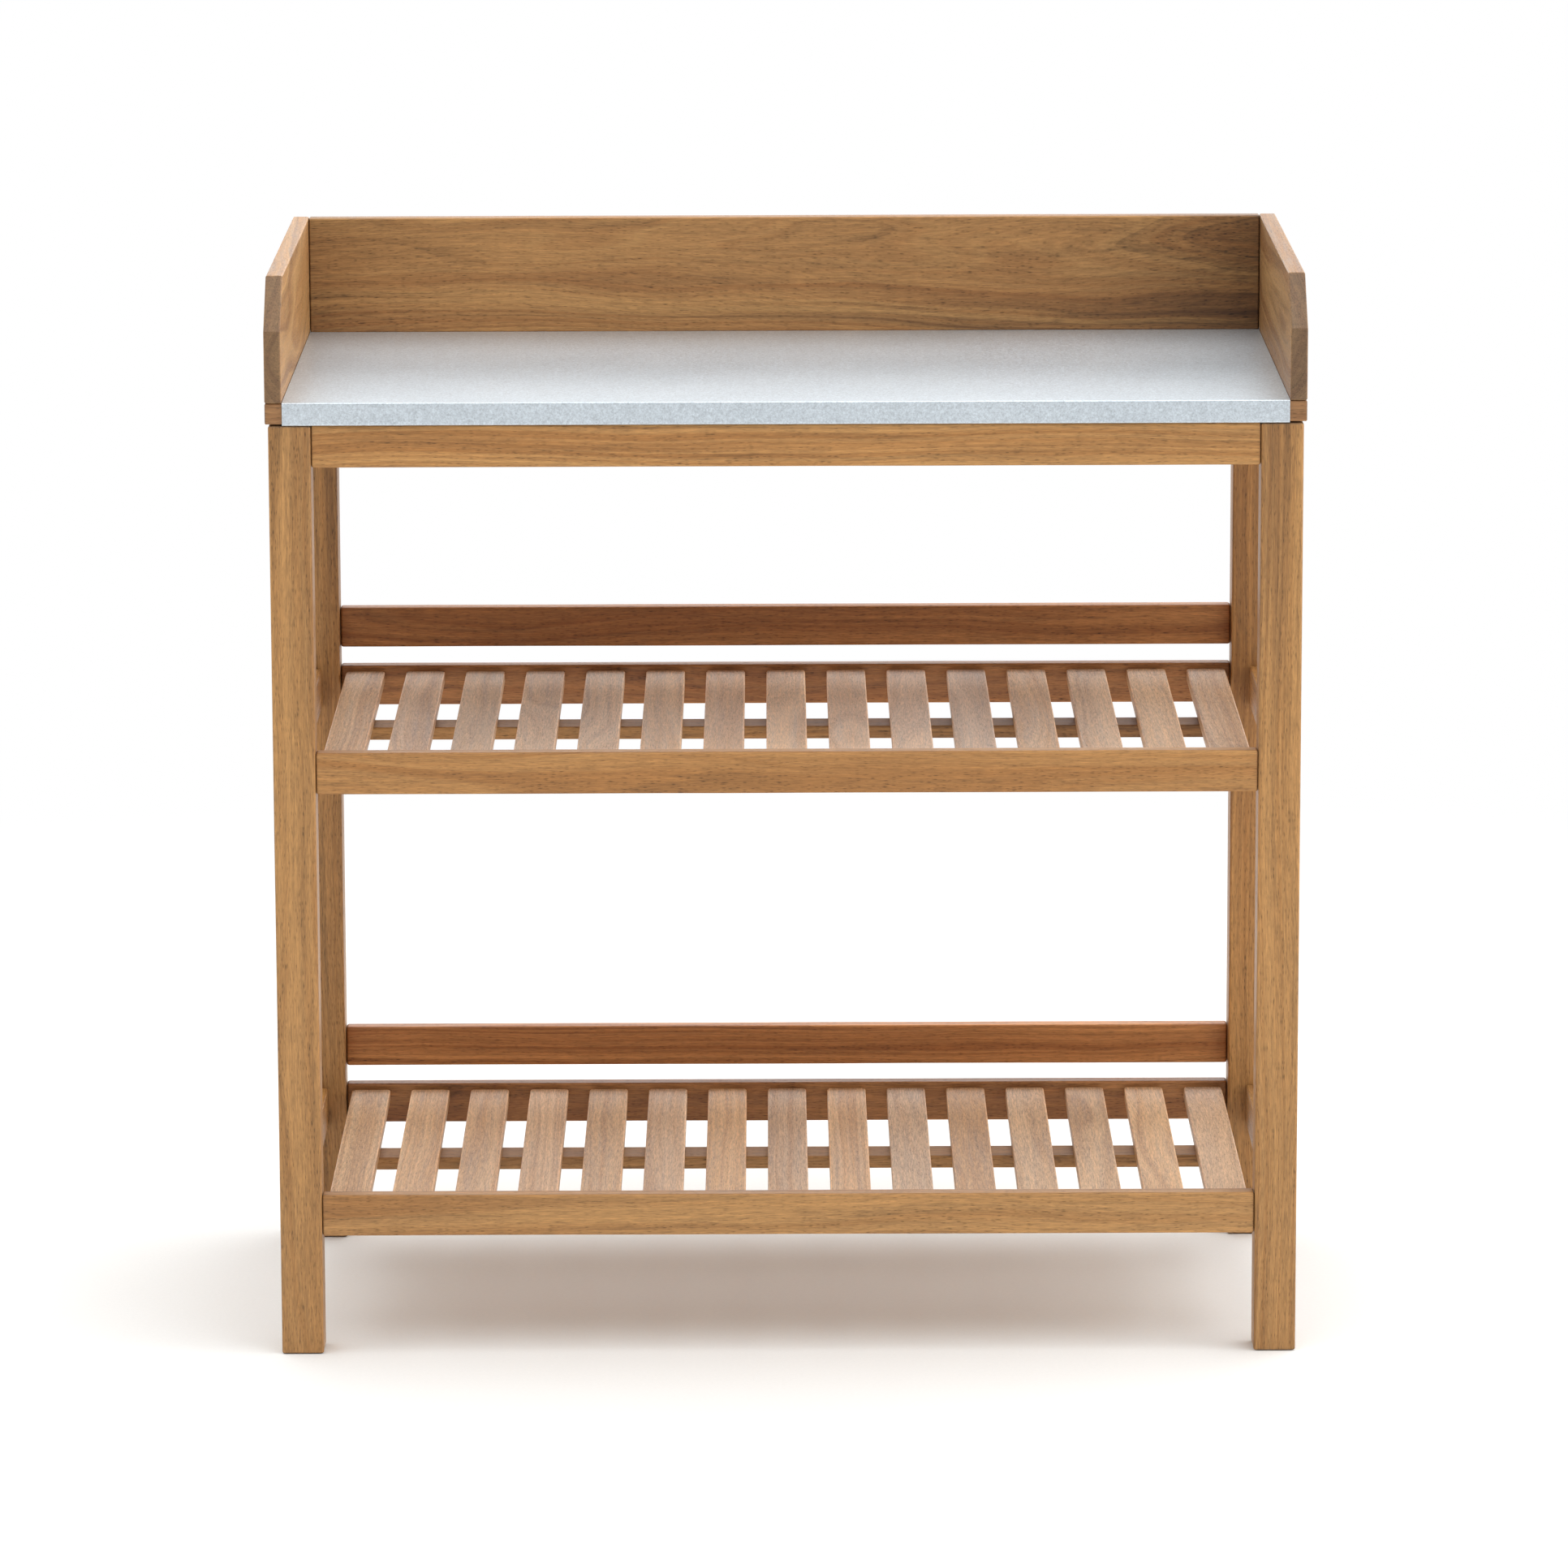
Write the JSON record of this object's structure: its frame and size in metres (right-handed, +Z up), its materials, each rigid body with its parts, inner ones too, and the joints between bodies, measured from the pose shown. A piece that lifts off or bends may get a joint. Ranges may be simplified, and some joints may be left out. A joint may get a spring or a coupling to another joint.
{
  "type": "potting bench",
  "caption": "Wooden potting bench with a metal-clad worktop between low side boards and a backboard, above two slatted shelves with rear guard rails.",
  "frame": {"origin": "centre of the bounding box footprint, at floor level", "axes": "+Z up, front of the bench towards -Y, +X to the right when the front is faced"},
  "size_m": [0.857, 0.436, 0.9075],
  "materials": {
    "leg_wood": "oiled hardwood, satin, fine straight grain with darker streaks",
    "rail_wood": "oiled hardwood, satin, long horizontal grain",
    "back_rail_wood": "oiled hardwood, satin, slightly redder",
    "slat_wood": "oiled hardwood, matt, paler top faces",
    "board_wood": "oiled hardwood, satin, long heartwood streaks",
    "panel_wood": "oiled hardwood, grain left to right, seen at the ends of the worktop",
    "galvanised_sheet": "dull galvanised metal with a fine mottled speckle"
  },
  "bodies": {
    "root": {"leg_front_left": "leg_wood", "leg_rear_left": "leg_wood", "leg_front_right": "leg_wood", "leg_rear_right": "leg_wood", "apron_front": "rail_wood", "apron_left": "rail_wood", "apron_right": "rail_wood", "apron_back": "back_rail_wood", "upper_rail_front": "rail_wood", "upper_rail_back": "back_rail_wood", "upper_rail_left": "rail_wood", "upper_rail_right": "rail_wood", "upper_guard_rail": "back_rail_wood", "upper_rail_centre": "rail_wood", "upper_slat_01": "slat_wood", "upper_slat_02": "slat_wood", "upper_slat_03": "slat_wood", "upper_slat_04": "slat_wood", "upper_slat_05": "slat_wood", "upper_slat_06": "slat_wood", "upper_slat_07": "slat_wood", "upper_slat_08": "slat_wood", "upper_slat_09": "slat_wood", "upper_slat_10": "slat_wood", "upper_slat_11": "slat_wood", "upper_slat_12": "slat_wood", "upper_slat_13": "slat_wood", "upper_slat_14": "slat_wood", "upper_slat_15": "slat_wood", "lower_rail_front": "rail_wood", "lower_rail_back": "back_rail_wood", "lower_rail_left": "rail_wood", "lower_rail_right": "rail_wood", "lower_guard_rail": "back_rail_wood", "lower_rail_centre": "rail_wood", "lower_slat_01": "slat_wood", "lower_slat_02": "slat_wood", "lower_slat_03": "slat_wood", "lower_slat_04": "slat_wood", "lower_slat_05": "slat_wood", "lower_slat_06": "slat_wood", "lower_slat_07": "slat_wood", "lower_slat_08": "slat_wood", "lower_slat_09": "slat_wood", "lower_slat_10": "slat_wood", "lower_slat_11": "slat_wood", "lower_slat_12": "slat_wood", "lower_slat_13": "slat_wood", "lower_slat_14": "slat_wood", "lower_slat_15": "slat_wood", "worktop_panel": "panel_wood", "worktop_metal_sheet": "galvanised_sheet", "side_board_left": "board_wood", "side_board_right": "board_wood", "backboard": "board_wood"}
  },
  "joints": []
}
